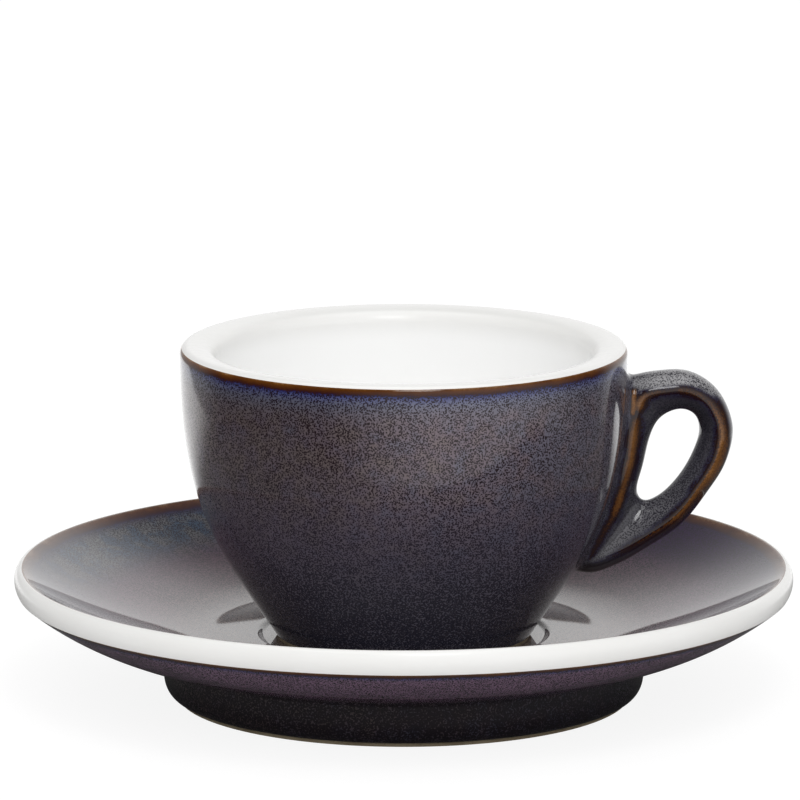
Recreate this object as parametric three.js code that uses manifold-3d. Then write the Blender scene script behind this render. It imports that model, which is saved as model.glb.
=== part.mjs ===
// Espresso cup and saucer in thick porcelain, white inside and on the rims, dark glaze elsewhere.
// Millimetres, +Z up. The origin is the centre of the saucer's foot, on the table.
// The cup stands in the saucer's well and its handle points along +X.
// Every round piece is turned from an outline of (radius, height) points. An outline runs
// anticlockwise round its clay: outward below, up the outside and inward on top.

import * as THREE from "three";
import { ParametricGeometry } from "three/addons/geometries/ParametricGeometry.js";
import { mergeVertices } from "three/addons/utils/BufferGeometryUtils.js";
import Module from "manifold-3d";

// Glaze and joints
const GLAZE = 0.4; // thickness of the dark glaze coat
const FOOT_BARE = 0.6; // height of the wiped, unglazed strip round each foot ring
const FOOT_EASE = 0.3; // easing on both edges of a foot ring's face
const RECESS_ROUND = 0.6; // rounding in the recess inside a foot ring
const LUTE_GAP = 0.3; // slip joint between the handle, the cup's wall and the glaze round it

// Saucer
const SAUCER_RADIUS = 57.5;
const SAUCER_HEIGHT = 19.6;
const SAUCER_FOOT_RADIUS = 35.5; // foot ring at its top, outside
const SAUCER_FOOT_TAPER = 1.8; // how far the foot ring draws in at the table
const SAUCER_FOOT_ROUND = 2.8; // height of that rounding
const SAUCER_FOOT_WIDTH = 3.6;
const SAUCER_FOOT_HEIGHT = 7.2; // table to the underside beside the foot
const SAUCER_FOOT_FILLET = 0.9; // between the foot ring and the underside
const SAUCER_UNDER_SLOPE = THREE.MathUtils.degToRad(8); // underside where it leaves the foot
const EDGE_BAND = 3.5; // height of the white band round the edge
const EDGE_TUCK = 0.5; // how far the band draws in at its lower line
const EDGE_ROUND = 1.1; // set-in of the crest from the widest line
const EDGE_ROLL = THREE.MathUtils.degToRad(15); // how far the round goes on past the crest
const DISH_SLOPE = THREE.MathUtils.degToRad(17); // dish where it leaves the bend
const DISH_BEND = 30; // radius of the bend between the ledge and the dish
const WELL_HEIGHT = 9; // top of the well's floor above the table
const WELL_DEPTH = 0.5;
const WELL_PLAY = 2; // room round the cup's foot
const WELL_SIDE = 0.6; // width of the well's sloping side
const WELL_LEDGE = 6.4; // flat ring of the dish round the well
const SAUCER_FLOOR = 4.5; // thickness of the saucer under the well

// Cup
const CUP_HEIGHT = 43.8;
const CUP_RADIUS = 32.95;
const CUP_FOOT_RADIUS = 18.9; // at the lower line of the glaze
const CUP_FOOT_WIDTH = 3;
const CUP_FOOT_RECESS = 1.6;
const CUP_FLARE = THREE.MathUtils.degToRad(34); // lean of the wall at the foot, from upright
const CUP_FLARE_LENGTH = 16.2; // pull of that lean along the wall
const CUP_SIDE_LENGTH = 22.1; // pull of the upright side below the lip
const CUP_FLOOR = 3.6; // thickness of the floor over the recess
const BOWL_FLAT = 6; // radius of the flat inside
const BOWL_ROUND = 16; // pull of the flat into the side inside
const BOWL_SIDE = 20; // pull of the side inside
const LIP_THICKNESS = 5.2;
const LIP_ROUND = 1.35; // rounding on the outside of the lip
const LIP_CROWN_WIDTH = 2.6;
const LIP_CROWN_DROP = 0.45;
const LIP_INNER_ROUND = 1.75; // height of the rounding on the inside of the lip
const LIP_GLAZE_ANGLE = THREE.MathUtils.degToRad(40); // where the dark glaze stops on the rounding

// Handle
const HANDLE_REACH = 14.2; // cup's wall to the farthest point of the side ridge
const HANDLE_TOP_DROP = 6.9; // cup's rim down to the top of the ridge
const HANDLE_TAIL_RISE = 11; // cup's foot up to the tail of the ridge
const HANDLE_WIDTH = 8.7; // across, from side ridge to side ridge
const HANDLE_BACK = 2.3; // side ridge to the handle's outer line
const HANDLE_FULLNESS = 1.5; // section between an ellipse at 1 and a pointed lens at 2

// Stations round the handle: each is the side ridge and the finger hole beside it, as shares
// of the reach out of the wall and of the height of the ridge.
const HANDLE_STATIONS = [
  { ridge: [0.095, 0.01], hole: [0.37, 0.346] },
  { ridge: [0.1, 0.29], hole: [0.296, 0.4] },
  { ridge: [0.1, 0.58], hole: [0.291, 0.55] },
  { ridge: [0.1, 0.85], hole: [0.311, 0.715] },
  { ridge: [0.16, 0.97], hole: [0.37, 0.8] },
  { ridge: [0.4, 1], hole: [0.475, 0.846] },
  { ridge: [0.63, 0.995], hole: [0.614, 0.862] },
  { ridge: [0.85, 0.915], hole: [0.748, 0.827] },
  { ridge: [1, 0.754], hole: [0.812, 0.738] },
  { ridge: [0.99, 0.585], hole: [0.78, 0.61] },
  { ridge: [0.887, 0.435], hole: [0.7, 0.482] },
  { ridge: [0.748, 0.265], hole: [0.588, 0.384] },
  { ridge: [0.518, 0.138], hole: [0.5, 0.346] },
  { ridge: [0.298, 0.045], hole: [0.429, 0.333] },
];

// Fineness of the facets
const TURN_SEGMENTS = 40;
const HANDLE_STEPS = 56;
const HANDLE_SIDES = 16;

const point = (radius, height) => new THREE.Vector2(radius, height);
const lastOf = (points) => points[points.length - 1];

// Points along the circular arc that leaves start at a heading and reaches end, without start.
function arcTo(start, heading, end, steps) {
  const forward = point(Math.cos(heading), Math.sin(heading));
  const chord = end.clone().sub(start);
  const turn = 2 * Math.atan2(forward.cross(chord), forward.dot(chord));
  const radius = chord.length() / (2 * Math.sin(turn / 2));
  const points = [];
  for (let i = 1; i < steps; i++) {
    const angle = heading + (turn * i) / steps;
    points.push(
      point(
        start.x + radius * (Math.sin(angle) - Math.sin(heading)),
        start.y + radius * (Math.cos(heading) - Math.cos(angle)),
      ),
    );
  }
  return [...points, end];
}

// Points along an upright ellipse, without the first.
function ellipseTo(centre, across, up, from, to, steps) {
  return new THREE.EllipseCurve(centre.x, centre.y, across, up, from, to).getPoints(steps).slice(1);
}

// The outline moved to its left, into the clay, by a depth. Points on the axis stay on it.
function inset(outline, depth) {
  return outline.map((at, i) => {
    const before = outline[Math.max(i - 1, 0)];
    const after = outline[Math.min(i + 1, outline.length - 1)];
    const into = i > 0 ? at.clone().sub(before).normalize() : after.clone().sub(at).normalize();
    const out = i < outline.length - 1 ? after.clone().sub(at).normalize() : into;
    const bisector = into.clone().add(out).normalize();
    const reach = depth / bisector.dot(into);
    const radius = at.x === 0 ? 0 : at.x - bisector.y * reach;
    return point(radius, at.y + bisector.x * reach);
  });
}

// Turned solid. An outline that doesn't start on the axis is closed on itself.
function turned(outline) {
  const closed = outline[0].x === 0 ? outline : [...outline, outline[0]];
  return new THREE.LatheGeometry(closed, TURN_SEGMENTS).rotateX(Math.PI / 2);
}

// A coat between a finished surface and the clay under it.
function coat(surface) {
  const clay = inset(surface, GLAZE).reverse();
  return surface[0].x === 0 ? turned([...surface, ...clay]) : turned([...clay, ...surface]);
}

const wasm = await Module();
wasm.setup();

function solidOf(geometry) {
  const bare = geometry.clone().deleteAttribute("normal").deleteAttribute("uv");
  const merged = mergeVertices(bare);
  return new wasm.Manifold(
    new wasm.Mesh({
      numProp: 3,
      vertProperties: merged.attributes.position.array,
      triVerts: new Uint32Array(merged.index.array),
    }),
  );
}

function geometryOf(solid) {
  const mesh = solid.getMesh();
  const geometry = new THREE.BufferGeometry();
  geometry.setAttribute("position", new THREE.BufferAttribute(mesh.vertProperties, 3));
  geometry.setIndex(new THREE.BufferAttribute(mesh.triVerts, 1));
  geometry.computeVertexNormals();
  return geometry;
}

// Recess under a foot ring: flat, rounded into the ring's inner side and down to the bare strip.
function recess(innerRadius, top, bottom) {
  const flat = [point(0, top), point(innerRadius - RECESS_ROUND, top)];
  const corner = arcTo(flat[1], 0, point(innerRadius, top - RECESS_ROUND), 2);
  return [...flat, ...corner, point(innerRadius, bottom + FOOT_BARE)];
}

// Bare face of a foot ring, between the recess and the outer glaze, with eased edges.
function footFace(innerRadius, outerRadius, bottom) {
  return [point(innerRadius + FOOT_EASE, bottom), point(outerRadius - FOOT_EASE, bottom)];
}

// Saucer surfaces
const wellRadius = CUP_FOOT_RADIUS + WELL_PLAY;
const saucerFootBottom = SAUCER_FOOT_RADIUS - SAUCER_FOOT_TAPER;
const saucerFootInner = saucerFootBottom - SAUCER_FOOT_WIDTH;
const edgeMiddle = SAUCER_HEIGHT - EDGE_BAND / 2;

const saucerBase = recess(saucerFootInner, WELL_HEIGHT - SAUCER_FLOOR, 0);

function saucerUnderside() {
  const start = point(saucerFootBottom, FOOT_BARE);
  const footTop = point(SAUCER_FOOT_RADIUS, SAUCER_FOOT_HEIGHT - SAUCER_FOOT_FILLET);
  const leave = point(SAUCER_FOOT_RADIUS + SAUCER_FOOT_FILLET, SAUCER_FOOT_HEIGHT);
  const edge = point(SAUCER_RADIUS - EDGE_TUCK, SAUCER_HEIGHT - EDGE_BAND);
  const centre = point(saucerFootBottom, FOOT_BARE + SAUCER_FOOT_ROUND);
  const round = ellipseTo(centre, SAUCER_FOOT_TAPER, SAUCER_FOOT_ROUND, -Math.PI / 2, 0, 4);
  const fillet = arcTo(footTop, Math.PI / 2, leave, 2);
  return [start, ...round, footTop, ...fillet, ...arcTo(leave, SAUCER_UNDER_SLOPE, edge, 6)];
}

function saucerEdge(lowest) {
  const widest = point(SAUCER_RADIUS, edgeMiddle);
  const lean = 2 * Math.atan2(widest.x - lowest.x, widest.y - lowest.y);
  const centre = point(SAUCER_RADIUS - EDGE_ROUND, edgeMiddle);
  const swell = arcTo(lowest, Math.PI / 2 - lean, widest, 2);
  return [...swell, ...ellipseTo(centre, EDGE_ROUND, EDGE_BAND / 2, 0, Math.PI / 2, 3)];
}

function saucerTop(crest) {
  const centre = point(SAUCER_RADIUS - EDGE_ROUND, edgeMiddle);
  const past = Math.PI / 2 + EDGE_ROLL;
  const roll = ellipseTo(centre, EDGE_ROUND, EDGE_BAND / 2, Math.PI / 2, past, 1);
  const wellTop = point(wellRadius + WELL_SIDE, WELL_HEIGHT + WELL_DEPTH);
  const ledge = point(wellTop.x + WELL_LEDGE, wellTop.y);
  const run = DISH_BEND * Math.sin(DISH_SLOPE);
  const rise = DISH_BEND * (1 - Math.cos(DISH_SLOPE));
  const bend = arcTo(ledge, 0, point(ledge.x + run, ledge.y + rise), 3);
  const dish = arcTo(lastOf(bend), DISH_SLOPE, lastOf(roll), 5);
  const inward = [wellTop, ledge, ...bend, ...dish].reverse();
  return [crest, ...inward, point(wellRadius, WELL_HEIGHT), point(0, WELL_HEIGHT)];
}

const underSurface = saucerUnderside();
const edgeSurface = saucerEdge(lastOf(underSurface));
const topSurface = saucerTop(lastOf(edgeSurface));

const saucerClay = [
  ...inset(saucerBase, GLAZE),
  lastOf(saucerBase),
  ...footFace(saucerFootInner, saucerFootBottom, 0),
  underSurface[0],
  ...inset(underSurface, GLAZE),
  lastOf(underSurface),
  ...edgeSurface,
  ...inset(topSurface, GLAZE),
];

// Cup surfaces
const cupTop = WELL_HEIGHT + CUP_HEIGHT;
const lipShoulder = cupTop - LIP_ROUND;
const cupFootInner = CUP_FOOT_RADIUS - CUP_FOOT_WIDTH;
const bowlFloor = WELL_HEIGHT + CUP_FOOT_RECESS + CUP_FLOOR;
const lipCentre = point(CUP_RADIUS - LIP_ROUND, lipShoulder);

const cupBase = recess(cupFootInner, WELL_HEIGHT + CUP_FOOT_RECESS, WELL_HEIGHT);

function cupOutside() {
  const foot = point(CUP_FOOT_RADIUS, WELL_HEIGHT + FOOT_BARE);
  const shoulder = point(CUP_RADIUS, lipShoulder);
  const lean = point(Math.sin(CUP_FLARE), Math.cos(CUP_FLARE)).multiplyScalar(CUP_FLARE_LENGTH);
  const upright = point(CUP_RADIUS, lipShoulder - CUP_SIDE_LENGTH);
  const wall = new THREE.CubicBezierCurve(foot, foot.clone().add(lean), upright, shoulder);
  return [...wall.getPoints(9), ...ellipseTo(lipCentre, LIP_ROUND, LIP_ROUND, 0, LIP_GLAZE_ANGLE, 2)];
}

function cupInside() {
  const crest = point(lipCentre.x, cupTop);
  const crown = point(crest.x - LIP_CROWN_WIDTH, cupTop - LIP_CROWN_DROP);
  const mouth = point(CUP_RADIUS - LIP_THICKNESS, crown.y - LIP_INNER_ROUND);
  const roll = 2 * Math.atan2(LIP_CROWN_DROP, LIP_CROWN_WIDTH);
  const side = new THREE.CubicBezierCurve(
    mouth,
    point(mouth.x, mouth.y - BOWL_SIDE),
    point(BOWL_FLAT + BOWL_ROUND, bowlFloor),
    point(BOWL_FLAT, bowlFloor),
  );
  return [
    ...ellipseTo(lipCentre, LIP_ROUND, LIP_ROUND, LIP_GLAZE_ANGLE, Math.PI / 2, 2),
    ...arcTo(crest, Math.PI, crown, 2),
    ...arcTo(crown, Math.PI + roll, mouth, 3),
    ...side.getPoints(8).slice(1),
    point(0, bowlFloor),
  ];
}

const outsideSurface = cupOutside();
const outsideClay = inset(outsideSurface, GLAZE);

const cupClay = [
  ...inset(cupBase, GLAZE),
  lastOf(cupBase),
  ...footFace(cupFootInner, CUP_FOOT_RADIUS, WELL_HEIGHT),
  outsideSurface[0],
  ...outsideClay,
  lastOf(outsideSurface),
  ...cupInside(),
];

// Radius of the cup's finished outside at a height.
function wallRadius(height) {
  const above = outsideSurface.findIndex((at) => at.y >= height);
  const high = outsideSurface[above];
  const low = outsideSurface[above - 1];
  return low.x + ((high.x - low.x) * (height - low.y)) / (high.y - low.y);
}

// Handle: a closed ring of lens-shaped sections in the plane of X and Z. Growing it makes the
// room that the glaze leaves round the handle's root.
const ridgeTail = WELL_HEIGHT + HANDLE_TAIL_RISE;
const ridgeHeight = cupTop - HANDLE_TOP_DROP - ridgeTail;

function ringCurve(line) {
  const points = HANDLE_STATIONS.map((station) => {
    const [reach, rise] = station[line];
    const height = ridgeTail + rise * ridgeHeight;
    return new THREE.Vector3(wallRadius(height) + reach * HANDLE_REACH, 0, height);
  });
  return new THREE.CatmullRomCurve3(points, true);
}

function handleRing(grow) {
  const ridgeCurve = ringCurve("ridge");
  const holeCurve = ringCurve("hole");
  const surface = (turn, around, target) => {
    const along = turn % 1;
    const ridge = ridgeCurve.getPoint(along);
    const heading = ridgeCurve.getTangent(along);
    const hole = holeCurve.getPoint(along);
    const back = new THREE.Vector3(-heading.z, 0, heading.x).multiplyScalar(HANDLE_BACK + grow);
    const front = hole.sub(ridge);
    front.setLength(front.length() + grow);
    const angle = 2 * Math.PI * around;
    const share = Math.abs(Math.cos(angle)) ** HANDLE_FULLNESS;
    target.copy(ridge).addScaledVector(Math.cos(angle) > 0 ? back : front, share);
    target.y = Math.sin(angle) * (HANDLE_WIDTH / 2 + grow);
  };
  return solidOf(new ParametricGeometry(surface, HANDLE_STEPS, HANDLE_SIDES));
}

// The cup's clay as a plain solid, out to the slip joint.
function jointFace() {
  const face = inset(outsideClay, -LUTE_GAP);
  return solidOf(turned([point(0, face[0].y), ...face, point(0, lastOf(face).y)]));
}

const handle = handleRing(0).subtract(jointFace());
const cupCoat = solidOf(coat(outsideSurface)).subtract(handleRing(LUTE_GAP));

// Finishes
function whiteGlaze() {
  return new THREE.MeshStandardMaterial({ color: 0xf1f0ec, roughness: 0.15, metalness: 0 });
}

function darkGlaze(color) {
  return new THREE.MeshStandardMaterial({ color, roughness: 0.2, metalness: 0 });
}

function piece(name, geometry, material) {
  const mesh = new THREE.Mesh(geometry, material);
  mesh.name = name;
  return mesh;
}

const saucer = new THREE.Group();
saucer.add(
  piece("saucer_body", turned(saucerClay), whiteGlaze()),
  piece("saucer_top_glaze", coat(topSurface), darkGlaze(0x5c5660)),
  piece("saucer_under_glaze", coat(underSurface), darkGlaze(0x2e2536)),
  piece("saucer_base_glaze", coat(saucerBase), darkGlaze(0x2e2536)),
);

const cup = new THREE.Group();
cup.add(
  piece("cup_body", turned(cupClay), whiteGlaze()),
  piece("cup_outer_glaze", geometryOf(cupCoat), darkGlaze(0x3f3d48)),
  piece("cup_base_glaze", coat(cupBase), darkGlaze(0x2e2536)),
  piece("cup_handle", geometryOf(handle), darkGlaze(0x45382f)),
);

const cupAndSaucer = new THREE.Group();
cupAndSaucer.add(saucer, cup);

export default cupAndSaucer;
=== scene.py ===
"""Espresso cup and saucer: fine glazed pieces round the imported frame, pale floor, soft light, camera.

Outlines are (radius, height) points in millimetres, anticlockwise round the clay: outward below,
up the outside and inward on top. Meshes are in metres, in the frame's own place.
"""

import math

import bpy
import numpy as np
from mathutils.bvhtree import BVHTree
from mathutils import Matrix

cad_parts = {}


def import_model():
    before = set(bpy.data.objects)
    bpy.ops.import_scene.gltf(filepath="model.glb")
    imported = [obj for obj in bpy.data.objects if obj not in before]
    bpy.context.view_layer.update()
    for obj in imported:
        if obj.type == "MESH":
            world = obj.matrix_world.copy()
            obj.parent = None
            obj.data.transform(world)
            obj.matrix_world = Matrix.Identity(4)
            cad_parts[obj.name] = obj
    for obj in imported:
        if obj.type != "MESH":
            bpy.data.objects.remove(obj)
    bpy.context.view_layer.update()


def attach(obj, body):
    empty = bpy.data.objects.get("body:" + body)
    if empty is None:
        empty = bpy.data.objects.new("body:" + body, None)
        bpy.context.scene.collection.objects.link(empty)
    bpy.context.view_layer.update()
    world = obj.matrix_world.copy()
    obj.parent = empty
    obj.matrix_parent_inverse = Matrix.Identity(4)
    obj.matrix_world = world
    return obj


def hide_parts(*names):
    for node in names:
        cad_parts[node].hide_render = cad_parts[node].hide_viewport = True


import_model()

MM = 0.001

# Saucer, in millimetres
GLAZE = 0.4
FOOT_BARE = 0.6
FOOT_EASE = 0.3
RECESS_ROUND = 0.6
SAUCER_RADIUS = 57.5
SAUCER_HEIGHT = 19.6
SAUCER_FOOT_RADIUS = 35.5
SAUCER_FOOT_TAPER = 1.8
SAUCER_FOOT_ROUND = 2.8
SAUCER_FOOT_WIDTH = 3.6
SAUCER_FOOT_HEIGHT = 7.2
SAUCER_FOOT_FILLET = 0.9
SAUCER_UNDER_SLOPE = math.radians(8)
EDGE_BAND = 3.5
EDGE_TUCK = 0.5
EDGE_ROUND = 1.1
EDGE_ROLL = math.radians(15)
DISH_SLOPE = math.radians(17)
DISH_BEND = 30.0
WELL_HEIGHT = 9.0
WELL_DEPTH = 0.5
WELL_RADIUS = 20.9
WELL_SIDE = 0.6
WELL_LEDGE = 6.4
WELL_TOP_ROUND = 1.0
WELL_FOOT_ROUND = 0.6
SAUCER_FLOOR = 4.5

# Cup, in millimetres
CUP_TOP = 52.8
CUP_RADIUS = 32.95
CUP_FOOT_RADIUS = 18.9
CUP_FOOT_WIDTH = 3.0
CUP_FOOT_RECESS = 1.6
CUP_FLARE = math.radians(34)
CUP_FLARE_LENGTH = 16.2
CUP_SIDE_LENGTH = 22.1
CUP_FLOOR = 3.6
BOWL_FLAT = 6.0
BOWL_ROUND = 16.0
BOWL_SIDE = 20.0
LIP_THICKNESS = 5.2
LIP_ROUND = 1.35
LIP_CROWN_WIDTH = 2.6
LIP_CROWN_DROP = 0.45
LIP_INNER_ROUND = 1.75
LIP_GLAZE_ANGLE = math.radians(40)
LIP_STEPS = 14

# Handle, in millimetres, with its stations as shares of the reach and of the ridge's height
HANDLE_REACH = 14.2
HANDLE_TAIL = 20.0
HANDLE_RISE = 25.9
HANDLE_HALF = 4.35
HANDLE_BACK = 2.3
HANDLE_FULLNESS = 1.5
RIDGE_STATIONS = [
    (0.095, 0.01), (0.1, 0.29), (0.1, 0.58), (0.1, 0.85), (0.16, 0.97), (0.4, 1.0), (0.63, 0.995),
    (0.85, 0.915), (1.0, 0.754), (0.99, 0.585), (0.887, 0.435), (0.748, 0.265), (0.518, 0.138),
    (0.298, 0.045),
]
HOLE_STATIONS = [
    (0.37, 0.346), (0.296, 0.4), (0.291, 0.55), (0.311, 0.715), (0.37, 0.8), (0.475, 0.846),
    (0.614, 0.862), (0.748, 0.827), (0.812, 0.738), (0.78, 0.61), (0.7, 0.482), (0.588, 0.384),
    (0.5, 0.346), (0.429, 0.333),
]
BEAD_HEIGHT = 0.35
BEAD_WIDTH = 0.5
ROOT_BLEND = 3.4
ROOT_SINK = 0.01
ROOT_DEPTH = 0.3
RING_STEPS = 280
RING_SIDES = 64

# Grid for the handle's skin, in millimetres, and how often the skin is softened
SKIN_STEP = 0.22
SKIN_X = (21.5, 49.5)
SKIN_HALF_WIDTH = 9.5
SKIN_Z = (13.5, 51.5)
SKIN_FAR = 9.0
SKIN_BEHIND_WALL = 1.2
SKIN_SOFTENING = 7

# Glaze on the handle, at stations of its ridge: the amber's width outside and inside the ridge in
# millimetres, its level and how flat it is, and the painted light inside and outside the ridge, from
# painted shade at 0 to a painted sheen at 1
GLAZE_STATIONS = [0, 1, 3.5, 4.5, 6.2, 7.5, 9.5, 11, 12.5, 14]
AMBER_OUTER = [0.4, 0.7, 0.8, 0.5, 0.7, 2.2, 3.6, 2.6, 1.2, 0.4]
AMBER_INNER = [0.4, 1.1, 1.2, 1.0, 0.9, 0.8, 0.8, 0.8, 0.7, 0.4]
AMBER_LEVEL = [0.1, 0.85, 0.9, 0.8, 0.9, 1.0, 0.95, 0.85, 0.7, 0.1]
AMBER_FLAT = [0.5, 0.7, 0.76, 0.55, 0.45, 0.52, 0.64, 0.5, 0.44, 0.5]
PAINTED_LIGHT_INSIDE = [0.4, 0.4, 0.3, 0.3, 0.25, 0.25, 0.52, 0.63, 0.65, 0.5]
PAINTED_LIGHT_OUTSIDE = [0.45, 0.5, 0.5, 0.9, 1.0, 0.8, 0.35, 0.1, 0.1, 0.1]
AMBER_GAP_STATION = 3.1
AMBER_GAP_WIDTH = 0.22
AMBER_GAP_DEPTH = 0.75
NOTCH_FROM_WALL = 1.1
NOTCH_LEVEL = 0.8
HANDLE_LIFT = 0.6
HANDLE_FADE = 0.1
HANDLE_NEAREST_EDGE = 3.0

TURN_SEGMENTS = 256
SHARP = math.radians(35)


# Outlines

def point(radius, height):
    return np.array([radius, height], float)


def arc_to(start, heading, end, steps):
    """Points along the circular arc that leaves start at a heading and reaches end, without start."""
    chord = end - start
    forward = point(math.cos(heading), math.sin(heading))
    turn = 2 * math.atan2(forward[0] * chord[1] - forward[1] * chord[0], forward @ chord)
    radius = np.linalg.norm(chord) / (2 * math.sin(turn / 2))
    angle = heading + turn * np.arange(1, steps + 1) / steps
    across = start[0] + radius * (np.sin(angle) - math.sin(heading))
    up = start[1] + radius * (math.cos(heading) - np.cos(angle))
    return np.column_stack([across, up])


def ellipse_to(centre, across, up, first, last, steps):
    angle = np.linspace(first, last, steps + 1)[1:]
    return np.column_stack([centre[0] + across * np.cos(angle), centre[1] + up * np.sin(angle)])


def bezier(a, b, c, d, steps):
    t = np.linspace(0, 1, steps + 1)[:, None]
    return a * (1 - t) ** 3 + 3 * b * t * (1 - t) ** 2 + 3 * c * t * t * (1 - t) + d * t ** 3


def line_to(start, end, steps):
    return start + (end - start) * (np.arange(1, steps + 1) / steps)[:, None]


def corner(before, at, after, radius, steps):
    """The rounding of a corner, from its first tangent point to its last."""
    into = (at - before) / np.linalg.norm(at - before)
    out = (after - at) / np.linalg.norm(after - at)
    turn = math.acos(np.clip(into @ out, -1, 1))
    reach = radius * math.tan(turn / 2)
    start = at - into * reach
    arc = arc_to(start, math.atan2(into[1], into[0]), at + out * reach, steps)
    return np.vstack([start, arc])


def inset(outline, depth):
    """The outline moved to its left, into the clay. Points on the axis stay on it."""
    step = np.diff(outline, axis=0)
    step /= np.linalg.norm(step, axis=1)[:, None]
    into = np.vstack([step[:1], step])
    out = np.vstack([step, step[-1:]])
    bisector = into + out
    bisector /= np.linalg.norm(bisector, axis=1)[:, None]
    reach = depth / np.sum(bisector * into, axis=1)
    moved = outline + np.column_stack([-bisector[:, 1], bisector[:, 0]]) * reach[:, None]
    moved[outline[:, 0] == 0, 0] = 0
    return moved


def along(outline):
    """How far each point lies along its outline from the first."""
    return np.concatenate([[0], np.cumsum(np.linalg.norm(np.diff(outline, axis=0), axis=1))])


def recess(inner, top, bottom):
    flat = line_to(point(0, top), point(inner - RECESS_ROUND, top), 24)
    rounding = arc_to(flat[-1], 0, point(inner, top - RECESS_ROUND), 8)
    side = line_to(rounding[-1], point(inner, bottom + FOOT_BARE), 6)
    return np.vstack([point(0, top), flat, rounding, side])


def foot_face(inner, outer, bottom):
    flat = line_to(point(inner + FOOT_EASE, bottom), point(outer - FOOT_EASE, bottom), 3)
    return np.vstack([point(inner + FOOT_EASE, bottom), flat])


saucer_foot_bottom = SAUCER_FOOT_RADIUS - SAUCER_FOOT_TAPER
saucer_foot_inner = saucer_foot_bottom - SAUCER_FOOT_WIDTH
edge_middle = SAUCER_HEIGHT - EDGE_BAND / 2
edge_centre = point(SAUCER_RADIUS - EDGE_ROUND, edge_middle)


def saucer_underside():
    start = point(saucer_foot_bottom, FOOT_BARE)
    centre = point(saucer_foot_bottom, FOOT_BARE + SAUCER_FOOT_ROUND)
    foot_top = point(SAUCER_FOOT_RADIUS, SAUCER_FOOT_HEIGHT - SAUCER_FOOT_FILLET)
    leave = point(SAUCER_FOOT_RADIUS + SAUCER_FOOT_FILLET, SAUCER_FOOT_HEIGHT)
    edge = point(SAUCER_RADIUS - EDGE_TUCK, SAUCER_HEIGHT - EDGE_BAND)
    rounding = ellipse_to(centre, SAUCER_FOOT_TAPER, SAUCER_FOOT_ROUND, -math.pi / 2, 0, 20)
    return np.vstack([
        start,
        rounding,
        line_to(rounding[-1], foot_top, 8),
        arc_to(foot_top, math.pi / 2, leave, 10),
        arc_to(leave, SAUCER_UNDER_SLOPE, edge, 60),
    ])


def saucer_edge(lowest):
    widest = point(SAUCER_RADIUS, edge_middle)
    lean = 2 * math.atan2(widest[0] - lowest[0], widest[1] - lowest[1])
    return np.vstack([
        arc_to(lowest, math.pi / 2 - lean, widest, 12),
        ellipse_to(edge_centre, EDGE_ROUND, EDGE_BAND / 2, 0, math.pi / 2, 24),
    ])


def saucer_top(crest):
    last = math.pi / 2 + EDGE_ROLL
    roll = ellipse_to(edge_centre, EDGE_ROUND, EDGE_BAND / 2, math.pi / 2, last, 6)
    well_top = point(WELL_RADIUS + WELL_SIDE, WELL_HEIGHT + WELL_DEPTH)
    well_foot = point(WELL_RADIUS, WELL_HEIGHT)
    centre = point(0, WELL_HEIGHT)
    ledge = well_top + point(WELL_LEDGE, 0)
    bend_end = ledge + DISH_BEND * point(math.sin(DISH_SLOPE), 1 - math.cos(DISH_SLOPE))
    bend = arc_to(ledge, 0, bend_end, 24)
    dish = arc_to(bend_end, DISH_SLOPE, roll[-1], 70)
    upper = corner(ledge, well_top, well_foot, WELL_TOP_ROUND, 8)
    lower = corner(well_top, well_foot, centre, WELL_FOOT_ROUND, 8)
    flat = line_to(ledge, upper[0], 8)
    floor = line_to(lower[-1], centre, 30)
    return np.vstack([crest, roll[:-1], dish[::-1], bend[::-1], ledge, flat[:-1], upper, lower, floor])


saucer_base = recess(saucer_foot_inner, WELL_HEIGHT - SAUCER_FLOOR, 0)
saucer_under = saucer_underside()
saucer_band = saucer_edge(saucer_under[-1])
saucer_dish = saucer_top(saucer_band[-1])

lip_shoulder = CUP_TOP - LIP_ROUND
lip_centre = point(CUP_RADIUS - LIP_ROUND, lip_shoulder)
cup_foot_inner = CUP_FOOT_RADIUS - CUP_FOOT_WIDTH
bowl_floor = WELL_HEIGHT + CUP_FOOT_RECESS + CUP_FLOOR


def cup_outside():
    foot = point(CUP_FOOT_RADIUS, WELL_HEIGHT + FOOT_BARE)
    lean = point(math.sin(CUP_FLARE), math.cos(CUP_FLARE)) * CUP_FLARE_LENGTH
    upright = point(CUP_RADIUS, lip_shoulder - CUP_SIDE_LENGTH)
    wall = bezier(foot, foot + lean, upright, point(CUP_RADIUS, lip_shoulder), 80)
    return np.vstack([wall, ellipse_to(lip_centre, LIP_ROUND, LIP_ROUND, 0, LIP_GLAZE_ANGLE, 12)])


def cup_inside():
    crest = point(lip_centre[0], CUP_TOP)
    crown = point(crest[0] - LIP_CROWN_WIDTH, CUP_TOP - LIP_CROWN_DROP)
    mouth = point(CUP_RADIUS - LIP_THICKNESS, crown[1] - LIP_INNER_ROUND)
    roll = 2 * math.atan2(LIP_CROWN_DROP, LIP_CROWN_WIDTH)
    below = point(mouth[0], mouth[1] - BOWL_SIDE)
    flat = point(BOWL_FLAT, bowl_floor)
    return np.vstack([
        ellipse_to(lip_centre, LIP_ROUND, LIP_ROUND, LIP_GLAZE_ANGLE, math.pi / 2, LIP_STEPS),
        arc_to(crest, math.pi, crown, 14),
        arc_to(crown, math.pi + roll, mouth, 16),
        bezier(mouth, below, point(BOWL_FLAT + BOWL_ROUND, bowl_floor), flat, 70)[1:],
        line_to(flat, point(0, bowl_floor), 8),
    ])


cup_base = recess(cup_foot_inner, WELL_HEIGHT + CUP_FOOT_RECESS, WELL_HEIGHT)
cup_wall = cup_outside()
cup_bowl = cup_inside()


# Turned meshes

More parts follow.
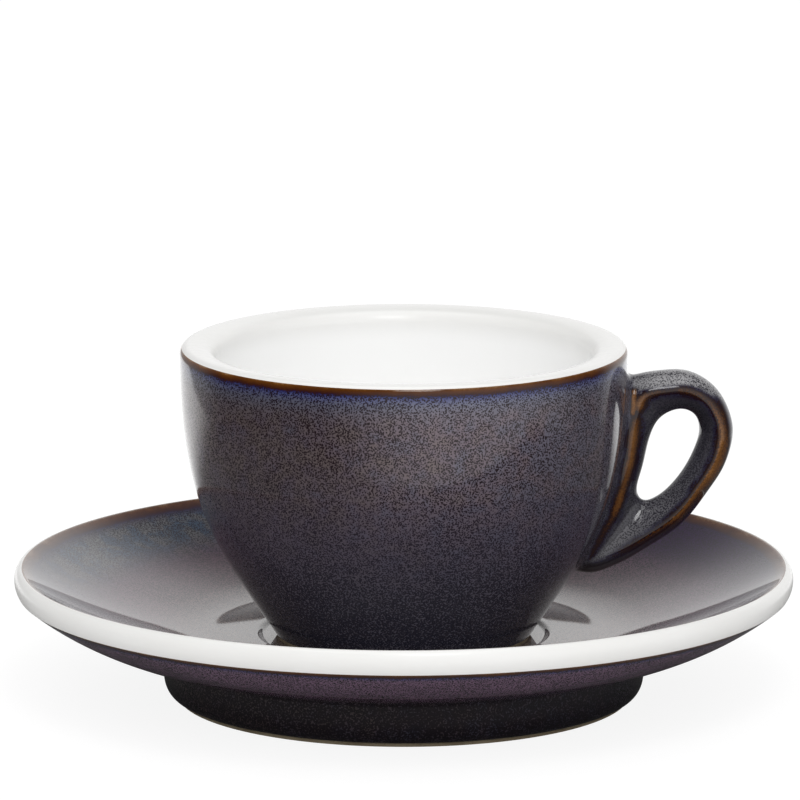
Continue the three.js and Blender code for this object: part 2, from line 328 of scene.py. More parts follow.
def turned_rows(outline):
    """Vertices and faces of the outline turned round the Z axis, with each vertex's outline point
    and each face's outline step."""
    turn = 2 * np.pi * np.arange(TURN_SEGMENTS) / TURN_SEGMENTS
    circle = np.column_stack([np.cos(turn), np.sin(turn)])
    vertices, owner, rings = [], [], []
    count = 0
    for i, (radius, height) in enumerate(outline):
        size = 1 if radius == 0 else TURN_SEGMENTS
        ring = circle[:size] * radius
        vertices.append(np.column_stack([ring, np.full(size, height)]))
        owner.append(np.full(size, i))
        rings.append(count + np.arange(size))
        count += size
    pairs = list(zip(range(len(outline) - 1), range(1, len(outline))))
    if outline[0, 0] > 0:
        pairs.append((len(outline) - 1, 0))
    faces, steps = [], []
    for step, (first, second) in enumerate(pairs):
        low, high = rings[first], rings[second]
        if len(low) == 1:
            made = np.column_stack([np.repeat(low, TURN_SEGMENTS), np.roll(high, -1), high])
        elif len(high) == 1:
            made = np.column_stack([low, np.roll(low, -1), np.repeat(high, TURN_SEGMENTS)])
        else:
            made = np.column_stack([low, np.roll(low, -1), np.roll(high, -1), high])
        faces += made.tolist()
        steps.append(np.full(len(made), step))
    return np.vstack(vertices), faces, np.concatenate(owner), np.concatenate(steps)


def piece(name, vertices, faces, materials, body, node):
    mesh = bpy.data.meshes.new(name)
    mesh.from_pydata((vertices * MM).tolist(), [], faces)
    for material in materials:
        mesh.materials.append(material)
    mesh.polygons.foreach_set("use_smooth", np.ones(len(mesh.polygons), bool))
    made = bpy.data.objects.new(name, mesh)
    bpy.context.scene.collection.objects.link(made)
    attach(made, body)
    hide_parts(node)
    return made


def note(made, name, values):
    """Stores one number for each vertex, for the material to read."""
    attribute = made.data.attributes.new(name, "FLOAT", "POINT")
    attribute.data.foreach_set("value", np.asarray(values, np.float32))


def turned(name, outline, materials, body, node, notes=None, second=None):
    """A turned piece. notes gives a number for each outline point, and second the outline steps that
    take the second material."""
    vertices, faces, owner, steps = turned_rows(outline)
    made = piece(name, vertices, faces, materials, body, node)
    made.data.set_sharp_from_angle(angle=SHARP)
    for key, values in (notes or {}).items():
        note(made, key, np.asarray(values)[owner])
    if second is not None:
        made.data.polygons.foreach_set("material_index", np.isin(steps, second).astype(np.int32))


def coat(name, surface, glaze, body, node, **notes):
    """A glaze coat between a finished surface and the clay under it. Each note is one number for each
    point of the surface."""
    clay = inset(surface, GLAZE)[::-1]
    if surface[0, 0] == 0:
        outline = np.vstack([surface, clay])
        notes = {key: np.concatenate([v, v[::-1]]) for key, v in notes.items()}
    else:
        outline = np.vstack([clay, surface])
        notes = {key: np.concatenate([v[::-1], v]) for key, v in notes.items()}
    turned(name, outline, [glaze], body, node, notes)


# Materials

class Graph:
    """Short ways to add nodes. A value is a number, a colour or another node's output."""

    def __init__(self, tree):
        self.tree = tree
        tree.nodes.clear()

    def add(self, kind, inputs=None, **settings):
        made = self.tree.nodes.new(kind)
        for key, value in settings.items():
            setattr(made, key, value)
        for key, value in (inputs or {}).items():
            if isinstance(value, bpy.types.NodeSocket):
                self.tree.links.new(value, made.inputs[key])
            else:
                made.inputs[key].default_value = value
        return made

    def calc(self, operation, a, b=0.0, clamp=False):
        made = self.add("ShaderNodeMath", {0: a, 1: b}, operation=operation, use_clamp=clamp)
        return made.outputs[0]

    def span(self, value, low, high, first=0.0, last=1.0):
        inputs = {"Value": value, "From Min": low, "From Max": high, "To Min": first, "To Max": last}
        made = self.add("ShaderNodeMapRange", inputs, interpolation_type="SMOOTHSTEP")
        return made.outputs[0]

    def mix(self, share, a, b):
        inputs = {"Factor": share, 6: colour(a), 7: colour(b)}
        return self.add("ShaderNodeMix", inputs, data_type="RGBA").outputs[2]

    def scale(self, vector, share):
        inputs = {0: vector, "Scale": share}
        return self.add("ShaderNodeVectorMath", inputs, operation="SCALE").outputs[0]

    def noise(self, vector, scale, detail=2.0, roughness=0.5):
        inputs = {"Vector": vector, "Scale": scale, "Detail": detail, "Roughness": roughness}
        return self.add("ShaderNodeTexNoise", inputs).outputs[0]

    def ramp(self, value, stops):
        made = self.add("ShaderNodeValToRGB", {"Fac": value})
        elements = made.color_ramp.elements
        while len(elements) < len(stops):
            elements.new(0.5)
        for element, (place, shade) in zip(elements, stops):
            element.position = place
            element.color = (*shade, 1)
        return made.outputs[0]

    def attribute(self, name):
        return self.add("ShaderNodeAttribute", attribute_name=name).outputs["Fac"]

    def millimetres(self):
        place = self.add("ShaderNodeTexCoord").outputs["Object"]
        return self.scale(place, 1 / MM)

    def bump(self, height, strength, depth):
        inputs = {"Strength": strength, "Distance": depth * MM, "Height": height}
        return self.add("ShaderNodeBump", inputs).outputs[0]

    def surface(self, shader):
        self.add("ShaderNodeOutputMaterial", {"Surface": shader.outputs[0]})


def colour(value):
    return (*value, 1) if isinstance(value, tuple) and len(value) == 3 else value


def material(name):
    made = bpy.data.materials.new(name)
    made.use_nodes = True
    return made, Graph(made.node_tree)


def white_glaze():
    made, g = material("white_glaze")
    place = g.millimetres()
    cloud = g.noise(place, 0.06, 3.0)
    peel = g.noise(place, 0.9, 1.0)
    shade = g.mix(g.span(cloud, 0.35, 0.65), (0.828, 0.823, 0.806), (0.843, 0.839, 0.825))
    # Painted light: the white is painted brighter deeper inside the cup
    shade = g.mix(g.attribute("pool"), shade, (0.95, 0.95, 0.945))
    rough = g.span(peel, 0.3, 0.7, 0.2, 0.25)
    shader = g.add("ShaderNodeBsdfPrincipled", {
        "Base Color": shade,
        "Roughness": rough,
        "IOR": 1.4,
        "Normal": g.bump(peel, 0.04, 0.1),
    })
    g.surface(shader)
    return made


def bare_clay():
    made, g = material("bare_clay")
    place = g.millimetres()
    grain = g.noise(place, 3.0, 4.0, 0.7)
    stain = g.noise(place, 0.25, 3.0)
    pale = g.mix(g.span(stain, 0.3, 0.7), (0.24, 0.19, 0.12), (0.33, 0.27, 0.18))
    shade = g.mix(g.span(grain, 0.3, 0.42), (0.14, 0.10, 0.06), pale)
    shader = g.add("ShaderNodeBsdfPrincipled", {
        "Base Color": shade,
        "Roughness": g.span(grain, 0.3, 0.7, 0.6, 0.85),
        "Normal": g.bump(grain, 0.5, 0.05),
    })
    g.surface(shader)
    return made


# Dark glaze along its run from the white line, by patches of the wall, and thin on a ridge
RUN_LENGTH = 8.0
RUN_STOPS = [
    (0.0, (0.22, 0.12, 0.055)),
    (0.012, (0.135, 0.048, 0.007)),
    (0.04, (0.085, 0.025, 0.003)),
    (0.10, (0.042, 0.010, 0.003)),
    (0.14, (0.020, 0.005, 0.016)),
    (0.18, (0.018, 0.020, 0.100)),
    (0.26, (0.040, 0.050, 0.165)),
    (0.36, (0.064, 0.066, 0.104)),
    (0.60, (0.066, 0.058, 0.070)),
]
PATCH_STOPS = [
    (0.3, (0.047, 0.043, 0.064)),
    (0.5, (0.058, 0.044, 0.056)),
    (0.7, (0.064, 0.047, 0.047)),
]
RIDGE_STOPS = [
    (0.10, (0.022, 0.022, 0.065)),
    (0.22, (0.012, 0.005, 0.010)),
    (0.42, (0.022, 0.007, 0.003)),
    (0.60, (0.082, 0.028, 0.005)),
    (0.80, (0.150, 0.060, 0.012)),
    (1.0, (0.27, 0.12, 0.036)),
]
LIFTED = (0.080, 0.082, 0.116)
PLUM = (0.155, 0.090, 0.146)
MOTTLE = ((0.062, 0.092, 0.140), (0.130, 0.132, 0.140))
FAR_PURPLE = (0.042, 0.021, 0.066)

# Tints of the crystals' satin: by patches, where the bloom is lifted and near the white line
SATIN_STOPS = [
    (0.3, (0.86, 0.80, 1.0)),
    (0.5, (1.0, 0.78, 0.91)),
    (0.7, (1.0, 0.80, 0.80)),
]
LIFTED_SATIN = (0.78, 0.82, 1.0)
LINE_SATIN = (0.75, 0.78, 1.0)
SATIN_ROUGHNESS = 0.5
SATIN_INDEX = 2.0

# Glaze pooled by depth on the dish, painted shade to a painted sheen on the handle, and the dark
# glass where it is thick and where its bloom is lifted
DISH_TONES = [
    (0.0, (0.044, 0.028, 0.062)),
    (0.3, (0.116, 0.060, 0.096)),
    (0.65, (0.158, 0.092, 0.114)),
    (1.0, (0.184, 0.136, 0.120)),
]
# Painted shade to a painted sheen on the handle, from its down-facing faces to its top
HANDLE_PAINTED_LIGHT_TONES = [
    (0.0, (0.016, 0.013, 0.018)),
    (0.5, (0.066, 0.064, 0.078)),
    (1.0, (0.280, 0.275, 0.285)),
]
WALL_GLASS = ((0.012, 0.005, 0.008), (0.027, 0.028, 0.045))
DISH_GLASS = ((0.010, 0.007, 0.011), (0.085, 0.074, 0.098))
HANDLE_GLASS = ((0.006, 0.005, 0.008), (0.036, 0.034, 0.044))


def dark_glaze(name, tones, glass, coat_roughness, coat_index, level=None):
    """Reactive glaze: amber where it runs thin at an edge, then maroon, cobalt and a satin bloom of
    fine crystals over dark glass. tones colours glaze pooled by depth on the dish, and painted shade to
    a painted sheen on the handle. glass is the dark glass where it is thick and where its bloom is
    lifted, and level is the satin's strength where it is even."""
    made, g = material(name)
    place = g.millimetres()
    keys = ("edge", "fade", "amber", "satin", "lift", "plum", "own", "pool", "back", "dusk")
    edge, fade, amber, satin, lift, plum, own, pool, back, dusk = (g.attribute(key) for key in keys)
    dots = g.add("ShaderNodeTexVoronoi", {"Vector": place, "Scale": 4.1}).outputs["Distance"]
    grain = g.noise(place, 4.5, 1.0)
    fine = g.calc("ADD", g.calc("MULTIPLY", dots, 0.7), g.calc("MULTIPLY", grain, 0.45))
    drift = g.noise(place, 0.28, 2.0, 0.5)
    cloud = g.noise(place, 0.09, 2.0, 0.5)
    across, behind, _ = g.add("ShaderNodeSeparateXYZ", {0: place}).outputs
    tint = g.calc("ADD", g.noise(place, 0.32, 2.0, 0.6), g.span(across, -30.0, 30.0, 0.1, -0.13))

    def by_grain(amount):
        return g.span(fine, 0.3, 0.8, -amount, amount)

    def by_drift(amount):
        return g.span(drift, 0.25, 0.75, -amount, amount)

    # Distance from the white line, with a drifting line and a limit that breaks up farther down
    drifted = g.calc("ADD", g.calc("ADD", edge, by_drift(0.15)), by_grain(0.07))
    broken_up = g.calc("MULTIPLY", by_grain(0.7), g.span(edge, 0.7, 1.6))
    run = g.calc("MULTIPLY", g.calc("ADD", drifted, broken_up), 1 / RUN_LENGTH, clamp=True)
    bloom = g.ramp(run, RUN_STOPS)
    bloom = g.mix(g.span(edge, 3.0, 7.0, 0.0, 0.9), bloom, g.ramp(tint, PATCH_STOPS))
    bloom = g.mix(g.calc("MULTIPLY", lift, 0.9), bloom, LIFTED)
    bloom = g.mix(g.calc("MULTIPLY", plum, g.span(drifted, 0.9, 2.4)), bloom, PLUM)

    # A dish has a mottled patch at the back on the left and a purple one on the right
    mottle = g.mix(g.span(g.noise(place, 0.3, 3.0, 0.6), 0.4, 0.6), *MOTTLE)
    far = g.calc("MULTIPLY", back, g.span(behind, -8.0, 24.0))
    far_left = g.calc("MULTIPLY", far, g.span(across, 12.0, -30.0))
    far_right = g.calc("MULTIPLY", far, g.span(across, 8.0, 36.0, 0.0, 0.9))
    # The tones ramp: glaze pooled by depth on the dish, painted shade to a painted sheen on the handle
    tone = g.mix(far_right, g.mix(far_left, g.ramp(pool, tones), mottle), FAR_PURPLE)
    bloom = g.mix(g.calc("MULTIPLY", own, g.span(drifted, 0.5, 1.5)), bloom, tone)

    # Dark glass shows between the crystals, and more of it as the coat fades
    limit = g.calc("ADD", g.span(fade, 0.0, 1.0, 0.56, 0.71), g.span(cloud, 0.3, 0.7, -0.02, 0.02))
    crystal = g.span(g.calc("SUBTRACT", fine, limit), -0.065, 0.065)
    body = g.mix(crystal, g.mix(lift, *glass), bloom)
    body = g.mix(g.span(drifted, 0.7, 1.3), bloom, body)
    # Painted shade: the body is darkened towards the saucer's foot
    body = g.scale(body, g.span(dusk, 0.0, 1.0, 1.0, 0.75))

    # Thin glaze on a ridge breaks to amber between near black fringes
    thin = g.calc("ADD", g.calc("ADD", amber, by_drift(0.10)), by_grain(0.08), clamp=True)
    ridge = g.calc("MULTIPLY", g.span(thin, 0.06, 0.2), g.span(amber, 0.02, 0.12))
    shade = g.mix(ridge, body, g.ramp(thin, RIDGE_STOPS))

    # Satin comes from the crystals only, away from ridges and the white line
    crystal = g.calc("MULTIPLY", crystal, g.calc("SUBTRACT", 1.0, ridge))
    crystal = g.calc("MULTIPLY", crystal, g.span(drifted, 1.0, 2.2))
    sheen = g.mix(lift, g.ramp(tint, SATIN_STOPS), LIFTED_SATIN)
    relief = g.calc("ADD", g.calc("MULTIPLY", fine, 0.06), g.noise(place, 0.35, 1.0))
    shader = g.add("ShaderNodeBsdfPrincipled", {
        "Base Color": shade,
        "Roughness": SATIN_ROUGHNESS,
        "IOR": SATIN_INDEX,
        "Specular IOR Level": g.calc("MULTIPLY", crystal, satin) if level is None else level,
        "Specular Tint": g.mix(g.span(edge, 2.0, 5.0), LINE_SATIN, sheen),
        "Coat Weight": 1.0,
        "Coat Roughness": coat_roughness,
        "Coat IOR": coat_index,
        "Normal": g.bump(relief, 0.08, 0.1),
    })
    g.surface(shader)
    return made


white = white_glaze()
bare = bare_clay()
wall_glaze = dark_glaze("dark_glaze", DISH_TONES, WALL_GLASS, coat_roughness=0.09, coat_index=1.45)
dish_glaze = dark_glaze("dish_glaze", DISH_TONES, DISH_GLASS, coat_roughness=0.04, coat_index=1.55,
                        level=0.05)
handle_glaze = dark_glaze("handle_glaze", HANDLE_PAINTED_LIGHT_TONES, HANDLE_GLASS, coat_roughness=0.08,
                          coat_index=1.5)


# Saucer and cup pieces

WALL_SATIN = 0.72
RECESS_EDGE = 40.0
RECESS_FADE = 0.7
DISH_LIFT = 0.2


def ware(name, base, face, under, edge_part, top, body, node, pool=None):
    """The white clay under its coats. The foot's face and its eased edges are bare. The last argument
    gives each point of the top a painted light: the white is painted brighter deeper inside the cup."""
    parts = [
        inset(base, GLAZE),
        base[-1:],
        face,
        under[:1],
        inset(under, GLAZE),
        under[-1:],
        edge_part,
        top,
    ]
    first = len(parts[0]) - 1
    last = first + len(face) + 2
    outline = np.vstack(parts)
    depth = np.zeros(len(outline))
    if pool is not None:
        depth[-len(top):] = pool
    turned(name, outline, [white, bare], body, node,
           notes={"pool": depth}, second=np.arange(first, last + 1))


def smooth(value, low, high):
    t = np.clip((np.asarray(value, float) - low) / (high - low), 0, 1)
    return t * t * (3 - 2 * t)


ware("saucer_porcelain", saucer_base, foot_face(saucer_foot_inner, saucer_foot_bottom, 0),
     saucer_under, saucer_band, inset(saucer_dish, GLAZE), "saucer", "saucer_body")
lip, bowl = np.split(cup_bowl, [LIP_STEPS])
# Painted light: the white inside the cup is painted brighter below the lip
ware("cup_porcelain", cup_base, foot_face(cup_foot_inner, CUP_FOOT_RADIUS, WELL_HEIGHT),
     cup_wall, lip, bowl, "cup", "cup_body", pool=smooth(CUP_TOP - bowl[:, 1], 0.6, 5))


def recess_coat(name, surface, body, node):
    coat(name, surface, dish_glaze, body, node,
         edge=np.full(len(surface), RECESS_EDGE), fade=np.full(len(surface), RECESS_FADE))


dish_run = along(saucer_dish)
under_run = along(saucer_under[::-1])[::-1]
wall_run = along(cup_wall[::-1])[::-1]
coat("saucer_dish_glaze", saucer_dish, dish_glaze, "saucer", "saucer_top_glaze",
     edge=np.interp(dish_run, [0, 1.0, 2.0, 4.5, 60], [0, 0.3, 0.9, 4, 50]),
     lift=np.full(len(dish_run), DISH_LIFT), own=np.ones(len(dish_run)),
     pool=smooth(dish_run, 0, 34), back=smooth(dish_run, 1.5, 4) * (1 - smooth(dish_run, 7, 15)))
# The underside is darkened towards its foot as painted shade
coat("saucer_underside_glaze", saucer_under, dish_glaze, "saucer", "saucer_under_glaze",
     edge=under_run, fade=smooth(under_run, 3, 26),
     plum=1 - smooth(under_run, 8, 24), dusk=smooth(under_run, 13, 22))
coat("cup_wall_glaze", cup_wall, wall_glaze, "cup", "cup_outer_glaze",
     edge=wall_run, fade=1 - smooth(cup_wall[:, 1], 8, 36), satin=np.full(len(wall_run), WALL_SATIN),
     lift=1 - smooth(cup_wall[:, 1], 13, 42))
recess_coat("saucer_recess_glaze", saucer_base, "saucer", "saucer_base_glaze")
recess_coat("cup_recess_glaze", cup_base, "cup", "cup_base_glaze")


# Handle

def wall_radius(height):
    return np.interp(height, cup_wall[:, 1], cup_wall[:, 0])


def ring_curve(stations, t):
    """Closed centripetal curve through the stations, as points of the plane of X and Z."""
    shares = np.array(stations)
    height = HANDLE_TAIL + shares[:, 1] * HANDLE_RISE
    points = np.column_stack([wall_radius(height) + shares[:, 0] * HANDLE_REACH, height])
    count = len(points)
    place = (t % 1) * count
    first = np.floor(place).astype(int)
    weight = (place - first)[:, None]
    a, b, c, d = (points[(first + k) % count] for k in (-1, 0, 1, 2))
    spans = [np.sum((q - p) ** 2, axis=1)[:, None] ** 0.25 for p, q in ((a, b), (b, c), (c, d))]
    leave = (b - a) / spans[0] - (c - a) / (spans[0] + spans[1]) + (c - b) / spans[1]
    arrive = (c - b) / spans[1] - (d - b) / (spans[1] + spans[2]) + (d - c) / spans[2]
    leave, arrive = leave * spans[1], arrive * spans[1]
    square = -3 * b + 3 * c - 2 * leave - arrive
    cube = 2 * b - 2 * c + leave + arrive
    return b + leave * weight + square * weight ** 2 + cube * weight ** 3


def handle_ring(steps, sides):
    """The closed ring of lens-shaped sections, with a bead along each side ridge."""
    t = np.arange(steps) / steps
    ridge = ring_curve(RIDGE_STATIONS, t)
    hole = ring_curve(HOLE_STATIONS, t)
    heading = ring_curve(RIDGE_STATIONS, t + 1e-4) - ring_curve(RIDGE_STATIONS, t - 1e-4)
    heading /= np.linalg.norm(heading, axis=1)[:, None]
    back = np.column_stack([-heading[:, 1], heading[:, 0]]) * HANDLE_BACK
    front = hole - ridge
    angle = 2 * np.pi * np.arange(sides) / sides
    share = np.abs(np.cos(angle)) ** HANDLE_FULLNESS
    lean = np.where(np.cos(angle)[None, :, None] > 0, back[:, None, :], front[:, None, :])
    flat = ridge[:, None, :] + lean * share[None, :, None]
    from_ridge = np.linalg.norm(lean, axis=2) * share
    bead = BEAD_HEIGHT * np.exp(-(from_ridge / BEAD_WIDTH) ** 2)
    half = (HANDLE_HALF - BEAD_HEIGHT) * np.abs(np.sin(angle)) + bead
    half = half * np.sign(np.round(np.sin(angle), 9))
    vertices = np.stack([flat[..., 0], half, flat[..., 1]], axis=2).reshape(-1, 3)
    index = np.arange(steps * sides).reshape(steps, sides)
    over, round_ = np.roll(index, -1, axis=0), np.roll(index, -1, axis=1)
    both = np.roll(over, -1, axis=1)
    faces = np.stack([index, over, both, round_], axis=2).reshape(-1, 4)
    return vertices, faces, ridge, hole


def root_field():
    """Distance field of the ring run smoothly into the cup's wall, on a grid over both sides."""
    ring, ring_faces, ridge, hole = handle_ring(RING_STEPS, RING_SIDES)
    tree = BVHTree.FromPolygons(ring.tolist(), ring_faces.tolist())
    x = np.arange(*SKIN_X, SKIN_STEP)
    y = (np.arange(0, int(SKIN_HALF_WIDTH / SKIN_STEP)) + 0.5) * SKIN_STEP
    z = np.arange(*SKIN_Z, SKIN_STEP)
    grid = np.stack(np.meshgrid(x, y, z, indexing="ij"), axis=3)
    radius = np.hypot(grid[..., 0], grid[..., 1])
    slope = np.gradient(cup_wall[:, 0], cup_wall[:, 1])
    lean = 1 / np.sqrt(1 + np.interp(z, cup_wall[:, 1], slope) ** 2)
    wall = (radius - wall_radius(z)) * lean + ROOT_SINK
    handle = np.full(radius.shape, SKIN_FAR)
    near = (wall > -SKIN_BEHIND_WALL) & (grid[..., 1] < HANDLE_HALF + ROOT_BLEND + 0.5)
    points = grid[near]
    found = np.empty(len(points))
    for i, at in enumerate(points.tolist()):
        place, normal, _, distance = tree.find_nearest(at)
        dx, dy, dz = at[0] - place[0], at[1] - place[1], at[2] - place[2]
        outward = dx * normal[0] + dy * normal[1] + dz * normal[2]
        found[i] = distance if outward > 0 else -distance
    handle[near] = found
    reach = np.maximum(ROOT_BLEND - np.abs(handle - wall), 0) / ROOT_BLEND
    joined = np.minimum(handle, wall) - reach ** 3 * ROOT_BLEND / 6
    joined, handle, wall = (np.concatenate([f[:, ::-1], f], axis=1) for f in (joined, handle, wall))
    for _ in range(SKIN_SOFTENING):
        joined = softened(joined)
    kept = np.maximum(np.maximum(joined, -(wall + ROOT_DEPTH)), handle - 0.9 * ROOT_BLEND)
    return x, np.concatenate([-y[::-1], y]), z, kept, wall, ridge, hole


def surface_net(x, y, z, field):
    """Quads on the field's zero surface, one vertex in each cell that it crosses."""
    axes = (x, y, z)
    shape = np.array(field.shape)
    inside = field < 0
    corners = [(i, j, k) for i in (0, 1) for j in (0, 1) for k in (0, 1)]

    def view(array, offset):
        return array[tuple(slice(o, n - 1 + o) for o, n in zip(offset, shape))]

    count = sum(view(inside, c).astype(int) for c in corners)
    cells = np.argwhere((count > 0) & (count < 8))
    order = np.full(shape - 1, -1)
    order[tuple(cells.T)] = np.arange(len(cells))
    total, crossings = np.zeros((len(cells), 3)), np.zeros(len(cells))
    for a in corners:
        for axis in range(3):
            if a[axis]:
                continue
            b = tuple(v + (axis == i) for i, v in enumerate(a))
            fa, fb = (field[tuple((cells + c).T)] for c in (a, b))
            crossed = (fa < 0) != (fb < 0)
            place = cells + np.array(a, float)
            place[:, axis] += np.where(crossed, fa / np.where(crossed, fa - fb, 1), 0)
            total[crossed] += place[crossed]
            crossings += crossed
    vertices = total / crossings[:, None]
    faces = []
    for axis in range(3):
        others = [i for i in range(3) if i != axis]
        low = tuple(slice(0, -1) if i == axis else slice(1, -1) for i in range(3))
        high = tuple(slice(1, None) if i == axis else slice(1, -1) for i in range(3))
        changed = inside[low] != inside[high]
        at = np.argwhere(changed) + [0 if i == axis else 1 for i in range(3)]
        leaves = inside[tuple(at.T)]
        first, second = np.eye(3, dtype=int)[others[0]], np.eye(3, dtype=int)[others[1]]
        around = [at - first - second, at - second, at, at - first]
        quad = np.column_stack([order[tuple(c.T)] for c in around])
        flip = leaves if axis != 1 else ~leaves
        quad[~flip] = quad[~flip][:, ::-1]
        faces.append(quad)
    scale = np.array([a[1] - a[0] for a in axes])
    origin = np.array([a[0] for a in axes])
    return vertices, origin + vertices * scale, np.vstack(faces)


def sampled(field, places):
    """The field's values at fractional grid places."""
    base = np.clip(np.floor(places).astype(int), 0, np.array(field.shape) - 2)
    t = places - base
    value = 0
    for i in (0, 1):
        for j in (0, 1):
            for k in (0, 1):
                weight = np.prod(np.where([i, j, k], t, 1 - t), axis=1)
                value = value + weight * field[tuple((base + [i, j, k]).T)]
    return value


def softened(field):
    """The field blurred a little, as glaze rounds what it covers."""
    for axis in range(3):
        padded = np.pad(field, [(2, 2) if i == axis else (0, 0) for i in range(3)], mode="edge")
        moved = [np.take(padded, np.arange(k, k + field.shape[axis]), axis=axis) for k in range(5)]
        field = (moved[0] + 4 * moved[1] + 6 * moved[2] + 4 * moved[3] + moved[4]) / 16
    return field


def handle_piece():
    x, y, z, kept, wall, ridge, hole = root_field()
    places, vertices, faces = surface_net(x, y, z, kept)
    made = piece("cup_ear", vertices, faces.tolist(), [handle_glaze], "cup", "cup_handle")
    normals = np.column_stack([sampled(slope, places) for slope in np.gradient(kept, SKIN_STEP)])
    normals /= np.linalg.norm(normals, axis=1)[:, None]
    made.data.normals_split_custom_set_from_vertices(normals.tolist())

    # Where each vertex lies: its station on the ridge, its side of the ridge and its way from the wall
    line = np.column_stack([ridge[:, 0], np.full(len(ridge), HANDLE_HALF), ridge[:, 1]])
    folded = np.column_stack([vertices[:, 0], np.abs(vertices[:, 1]), vertices[:, 2]])
    away = np.stack([np.linalg.norm(folded - at, axis=1) for at in line])
    nearest = np.argmin(away, axis=0)
    station = nearest / len(line) * len(RIDGE_STATIONS)
    inside = np.sum((vertices[:, [0, 2]] - ridge[nearest]) * (hole - ridge)[nearest], axis=1) > 0
    from_wall = sampled(wall, places)
    aside, height = folded[:, 1], folded[:, 2]

    def by_station(values):
        return np.interp(station, GLAZE_STATIONS, values)

    # Amber along the ridge, with a gap and a notch beside the upper root
    gap = AMBER_GAP_DEPTH * np.exp(-((station - AMBER_GAP_STATION) / AMBER_GAP_WIDTH) ** 2)
    level = by_station(AMBER_LEVEL) * (1 - gap)
    flat = by_station(AMBER_FLAT)
    share = away.min(axis=0) / np.where(inside, by_station(AMBER_INNER), by_station(AMBER_OUTER))
    crest = (1 - flat) * (1 - smooth(share, 0, 0.45))
    skirt = 0.62 * (1 - smooth(share, 0.3, 1.2)) + 0.38 * (1 - smooth(share, 0.6, 2.8))
    notch = 1 - smooth(np.abs(from_wall - NOTCH_FROM_WALL), 0.12, 0.6)
    notch *= smooth(height, 41.8, 42.8) * (1 - smooth(height, 45.6, 46.6))
    notch *= smooth(aside, 2.6, 3.4) * (1 - smooth(aside, 4.6, 5.4))
    note(made, "amber", np.maximum(level * (crest + flat * skirt), NOTCH_LEVEL * notch))

    # The rest of the skin: the wall's bloom at the root, then painted shade on its inner and lower
    # faces and a painted sheen on its top
    note(made, "satin", WALL_SATIN * (1 - smooth(from_wall, 0.02, 0.6)))
    note(made, "own", smooth(from_wall, 0.05, 1.5))
    # Painted light by station: darker inside the ridge and under the lower limb, lighter on the top
    note(made, "pool", np.where(inside, by_station(PAINTED_LIGHT_INSIDE), by_station(PAINTED_LIGHT_OUTSIDE)))
    note(made, "lift", np.full(len(vertices), HANDLE_LIFT))
    note(made, "fade", np.full(len(vertices), HANDLE_FADE))
    note(made, "edge", np.maximum(cup_wall[-1, 1] - height, HANDLE_NEAREST_EDGE))


handle_piece()


# Floor, light and camera, in metres, watts and strengths where 1 is white

FLOOR_LEFT, FLOOR_RIGHT = -0.17, 0.17
FLOOR_FRONT, FLOOR_BACK = -0.10, 1.6
FLOOR_DROP = 0.02 * MM
FLOOR_SEEN = 0.88
FLOOR_SEEN_SHADE = (0.18, 0.18, 0.18, 1)
FLOOR_SWEEP = 1.4
GLOW = 0.9
GLOW_TOWARD = (0.48, -0.87, -0.08)
OVERHEAD = 1.6
DIFFUSE_BELOW, DIFFUSE_ABOVE = 0.66, 0.74
LAMP_TARGET = (0, 0, 0.03)
CAMERA_SENSOR = 36
CAMERA_LENS = 358.6
CAMERA_PLACE = (-0.10023, -1.14562, 0.27332)
CAMERA_DOWN = 11.2614
CAMERA_TURN = -4.9727


def floor():
    """A pale floor that keeps the object's shadow. Mirrored, it is darker near the object and a white
    sweep far behind it."""
    made, g = material("floor_white")
    place = g.millimetres()
    cloud = g.noise(place, 0.01, 1.0)
    shade = g.mix(cloud, (0.90, 0.90, 0.90), (0.91, 0.91, 0.91))
    path = g.add("ShaderNodeLightPath").outputs
    matt = g.add("ShaderNodeBsdfDiffuse", {"Color": shade})
    dim = g.add("ShaderNodeBsdfDiffuse", {"Color": FLOOR_SEEN_SHADE})
    lift = g.add("ShaderNodeEmission", {"Strength": FLOOR_SEEN})
    clear = g.add("ShaderNodeAddShader", {0: dim.outputs[0], 1: lift.outputs[0]})
    depth = g.add("ShaderNodeSeparateXYZ", {0: place}).outputs[1]
    near = g.calc("MULTIPLY", path["Is Glossy Ray"], g.span(depth, 130.0, 60.0))
    far = g.calc("MULTIPLY", path["Is Glossy Ray"], g.span(depth, 80.0, 150.0))
    sweep = g.add("ShaderNodeEmission", {"Strength": FLOOR_SWEEP})
    mirrored = g.add("ShaderNodeMixShader", {0: near, 1: matt.outputs[0], 2: dim.outputs[0]})
    mirrored = g.add("ShaderNodeMixShader", {0: far, 1: mirrored.outputs[0], 2: sweep.outputs[0]})
    shaders = {0: path["Is Camera Ray"], 1: mirrored.outputs[0], 2: clear.outputs[0]}
    g.surface(g.add("ShaderNodeMixShader", shaders))
    mesh = bpy.data.meshes.new("floor")
    corners = [
        (FLOOR_LEFT, FLOOR_FRONT, -FLOOR_DROP),
        (FLOOR_RIGHT, FLOOR_FRONT, -FLOOR_DROP),
        (FLOOR_RIGHT, FLOOR_BACK, -FLOOR_DROP),
        (FLOOR_LEFT, FLOOR_BACK, -FLOOR_DROP),
    ]
    mesh.from_pydata(corners, [], [(0, 1, 2, 3)])
    mesh.materials.append(made)
    plane = bpy.data.objects.new("floor", mesh)
    bpy.context.scene.collection.objects.link(plane)


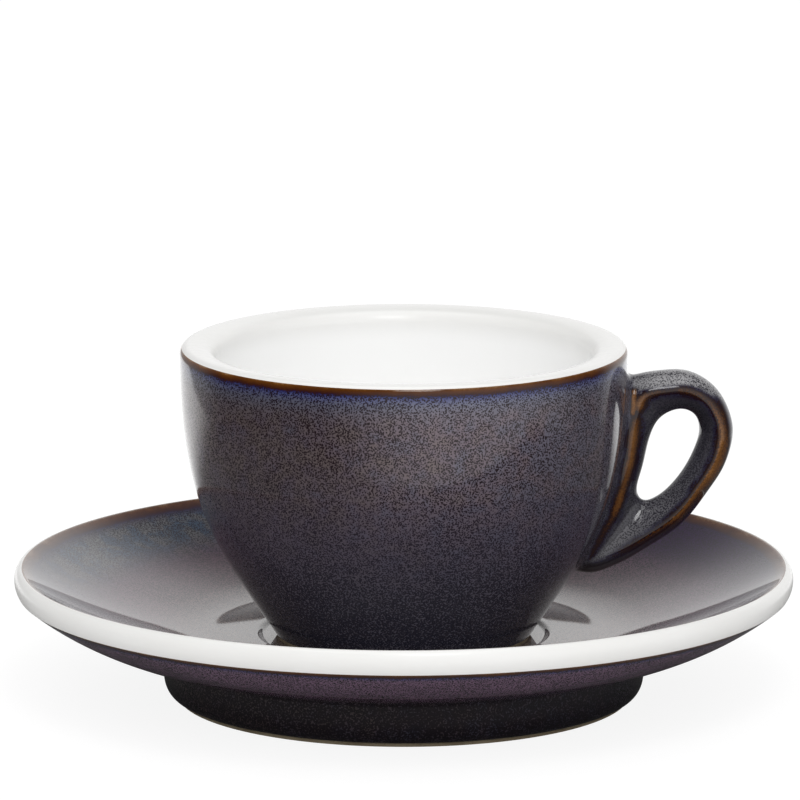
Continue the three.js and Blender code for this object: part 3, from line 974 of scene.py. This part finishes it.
def world():
    """White for the camera and even for matt surfaces. Mirrored, it is a white backdrop, a soft glow
    from the front and a bright overhead."""
    made = bpy.data.worlds.new("studio")
    bpy.context.scene.world = made
    made.use_nodes = True
    g = Graph(made.node_tree)
    path = g.add("ShaderNodeLightPath").outputs
    toward = g.add("ShaderNodeTexCoord").outputs["Generated"]
    across, behind, above = g.add("ShaderNodeSeparateXYZ", {0: toward}).outputs
    front = g.add("ShaderNodeVectorMath", {0: toward, 1: GLOW_TOWARD}, operation="DOT_PRODUCT")
    glow = g.span(front.outputs["Value"], 0.2, 1.0, 0.0, GLOW)
    low = g.span(across, -0.2, 0.05, 0.25, 0.45)
    tall = g.span(above, low, 0.78, 1.1, 0.08)
    side = g.calc("MULTIPLY", g.span(across, -0.35, 0.1, 0.45, 0.97), tall)
    backdrop = g.calc("MULTIPLY", g.span(behind, 0.35, 0.75, 0.1, 1.0), side)
    overhead = g.span(above, 0.8, 0.97, 0.0, OVERHEAD)
    mirrored = g.calc("ADD", g.calc("ADD", backdrop, glow), overhead)
    seen = g.calc("MAXIMUM", path["Is Camera Ray"], path["Is Transmission Ray"])
    glossy = g.calc("MULTIPLY", path["Is Glossy Ray"], mirrored)
    matt = g.calc("SUBTRACT", 1.0, g.calc("MAXIMUM", path["Is Glossy Ray"], seen))
    plain = g.calc("MULTIPLY", matt, g.span(above, -0.2, 1.0, DIFFUSE_BELOW, DIFFUSE_ABOVE))
    strength = g.calc("ADD", g.calc("ADD", seen, glossy), plain)
    shader = g.add("ShaderNodeBackground", {"Color": (1, 1, 1, 1), "Strength": strength})
    g.add("ShaderNodeOutputWorld", {"Surface": shader.outputs[0]})


def lamp(name, place, size, power, mirrored):
    """A round soft lamp aimed at the cup. mirrored says whether glossy surfaces show it."""
    data = bpy.data.lights.new(name, "AREA")
    data.shape, data.size, data.energy = "DISK", size, power
    made = bpy.data.objects.new(name, data)
    made.location = place
    made.visible_glossy = mirrored
    aim = np.array(LAMP_TARGET) - np.array(place)
    flat = math.hypot(aim[0], aim[1])
    made.rotation_euler = (math.atan2(flat, -aim[2]), 0, math.atan2(-aim[0], aim[1]))
    bpy.context.scene.collection.objects.link(made)


def camera():
    data = bpy.data.cameras.new("camera")
    data.sensor_width, data.lens = CAMERA_SENSOR, CAMERA_LENS
    made = bpy.data.objects.new("camera", data)
    made.location = CAMERA_PLACE
    made.rotation_euler = (math.radians(90 - CAMERA_DOWN), 0, math.radians(CAMERA_TURN))
    bpy.context.scene.collection.objects.link(made)
    bpy.context.scene.camera = made


floor()
world()
lamp("key", (-0.05, -0.90, 0.60), size=0.6, power=2.8, mirrored=False)
lamp("top", (0.04, -0.52, 0.70), size=0.28, power=1.2, mirrored=True)
camera()
bpy.context.scene.view_settings.view_transform = "Standard"
